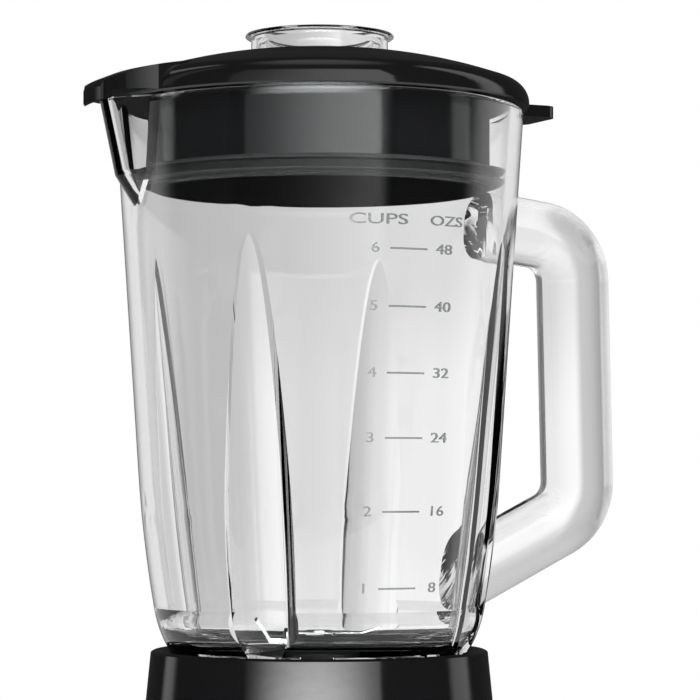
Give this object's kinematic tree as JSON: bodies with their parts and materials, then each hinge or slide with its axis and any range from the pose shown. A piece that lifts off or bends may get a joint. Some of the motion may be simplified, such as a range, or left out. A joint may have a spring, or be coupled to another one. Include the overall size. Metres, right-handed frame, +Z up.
{
  "type": "countertop blender",
  "caption": "Countertop blender with a fluted clear jar, moulded-in handle and spout, black lid with clear measuring cap, threaded blade unit and conical motor base.",
  "frame": {"origin": "on the jar axis, in the plane the feet stand on", "axes": "+Z up along the jar axis, -Y to the front with the controls and the scale, +X towards the jar's handle"},
  "size_m": [0.2007, 0.172, 0.3655],
  "materials": {
    "aluminium": "die cast",
    "black_gloss": "high gloss moulded plastic",
    "black_matte": "satin moulded plastic",
    "blade_steel": "polished stainless steel",
    "brass": "brass sheet",
    "bronze": "sintered bronze",
    "carbon": "carbon",
    "chrome": "bright chrome",
    "clear_glass": "clear pressed glass",
    "clear_plastic": "clear moulded plastic",
    "copper": "enamelled copper wire",
    "grey_plastic": "satin moulded plastic",
    "laminations": "stacked electrical steel",
    "rubber_black": "soft rubber",
    "steel": "plain steel",
    "white_nylon": "satin nylon"
  },
  "bodies": {
    "base": {"base_housing": "black_gloss", "bottom_cover": "black_matte", "rubber_feet": "rubber_black", "cover_screws": "steel", "jar_seat_ring": "rubber_black", "cord_gland": "black_matte", "control_panel": "black_matte", "speed_switch": "grey_plastic", "pulse_switch": "grey_plastic", "stator_core": "laminations", "field_windings": "copper", "upper_bracket": "aluminium", "lower_bracket": "aluminium", "upper_bearing": "bronze", "lower_bearing": "bronze", "through_bolts": "steel", "motor_grommets": "rubber_black", "mounting_screws": "steel", "brush_holders": "brass", "carbon_brushes": "carbon", "brush_springs": "steel"},
    "rotor": {"motor_shaft": "steel", "armature_core": "laminations", "armature_winding": "copper", "commutator": "brass", "cooling_fan": "white_nylon", "drive_coupling": "steel", "shaft_slinger": "rubber_black"},
    "collar": {"jar_collar": "black_matte"},
    "blade_unit": {"blade_holder": "black_matte", "jar_gasket": "rubber_black", "blade_bushes": "bronze", "shaft_seal": "rubber_black"},
    "cutter": {"blade_shaft": "steel", "lower_blade": "blade_steel", "upper_blade": "blade_steel", "blade_washers": "steel", "cap_nut": "chrome", "jar_coupling": "black_matte"},
    "jar": {"glass_jar": "clear_glass"},
    "lid": {"lid": "black_gloss", "lid_seal": "rubber_black"},
    "cap": {"measuring_cap": "clear_plastic"},
    "dial": {"speed_dial": "chrome", "switch_spindle": "brass"},
    "pulse": {"pulse_button": "chrome", "pulse_spring": "steel"}
  },
  "joints": [
    {"name": "motor_spin", "type": "hinge", "parent": "base", "child": "rotor", "pos_m": [0, 0, 0.05], "axis": [0, 0, 1], "continuous": true},
    {"name": "jar_lift", "type": "slide", "parent": "base", "child": "collar", "axis": [0, 0, 1], "range_m": [0, 0.12]},
    {"name": "unit_rise", "type": "slide", "parent": "collar", "child": "blade_unit", "axis": [0, 0, 1], "range_m": [0, 0.0056]},
    {"name": "jar_turn", "type": "hinge", "parent": "blade_unit", "child": "jar", "pos_m": [0, 0, 0.13], "axis": [0, 0, 1], "range_deg": [0, 440]},
    {"name": "blade_spin", "type": "hinge", "parent": "blade_unit", "child": "cutter", "pos_m": [0, 0, 0.14], "axis": [0, 0, 1], "continuous": true},
    {"name": "lid_lift", "type": "slide", "parent": "jar", "child": "lid", "axis": [0, 0, 1], "range_m": [0, 0.06]},
    {"name": "cap_lift", "type": "slide", "parent": "lid", "child": "cap", "axis": [0, 0, 1], "range_m": [0, 0.05]},
    {"name": "dial_turn", "type": "hinge", "parent": "base", "child": "dial", "pos_m": [0, -0.06647, 0.06995], "axis": [0, 0.9952, -0.0979], "range_deg": [0, 150]},
    {"name": "pulse_press", "type": "slide", "parent": "base", "child": "pulse", "axis": [0, 0.9952, -0.0979], "range_m": [0, 0.0025], "stiffness_N_per_m": 400, "springref_m": -0.002, "deforming": ["pulse_spring"]}
  ],
  "couplings": [
    {"joint": "blade_spin", "follows": "motor_spin", "ratio": 1},
    {"joint": "unit_rise", "follows": "jar_turn", "m_per_rad": 0.0007162}
  ]
}
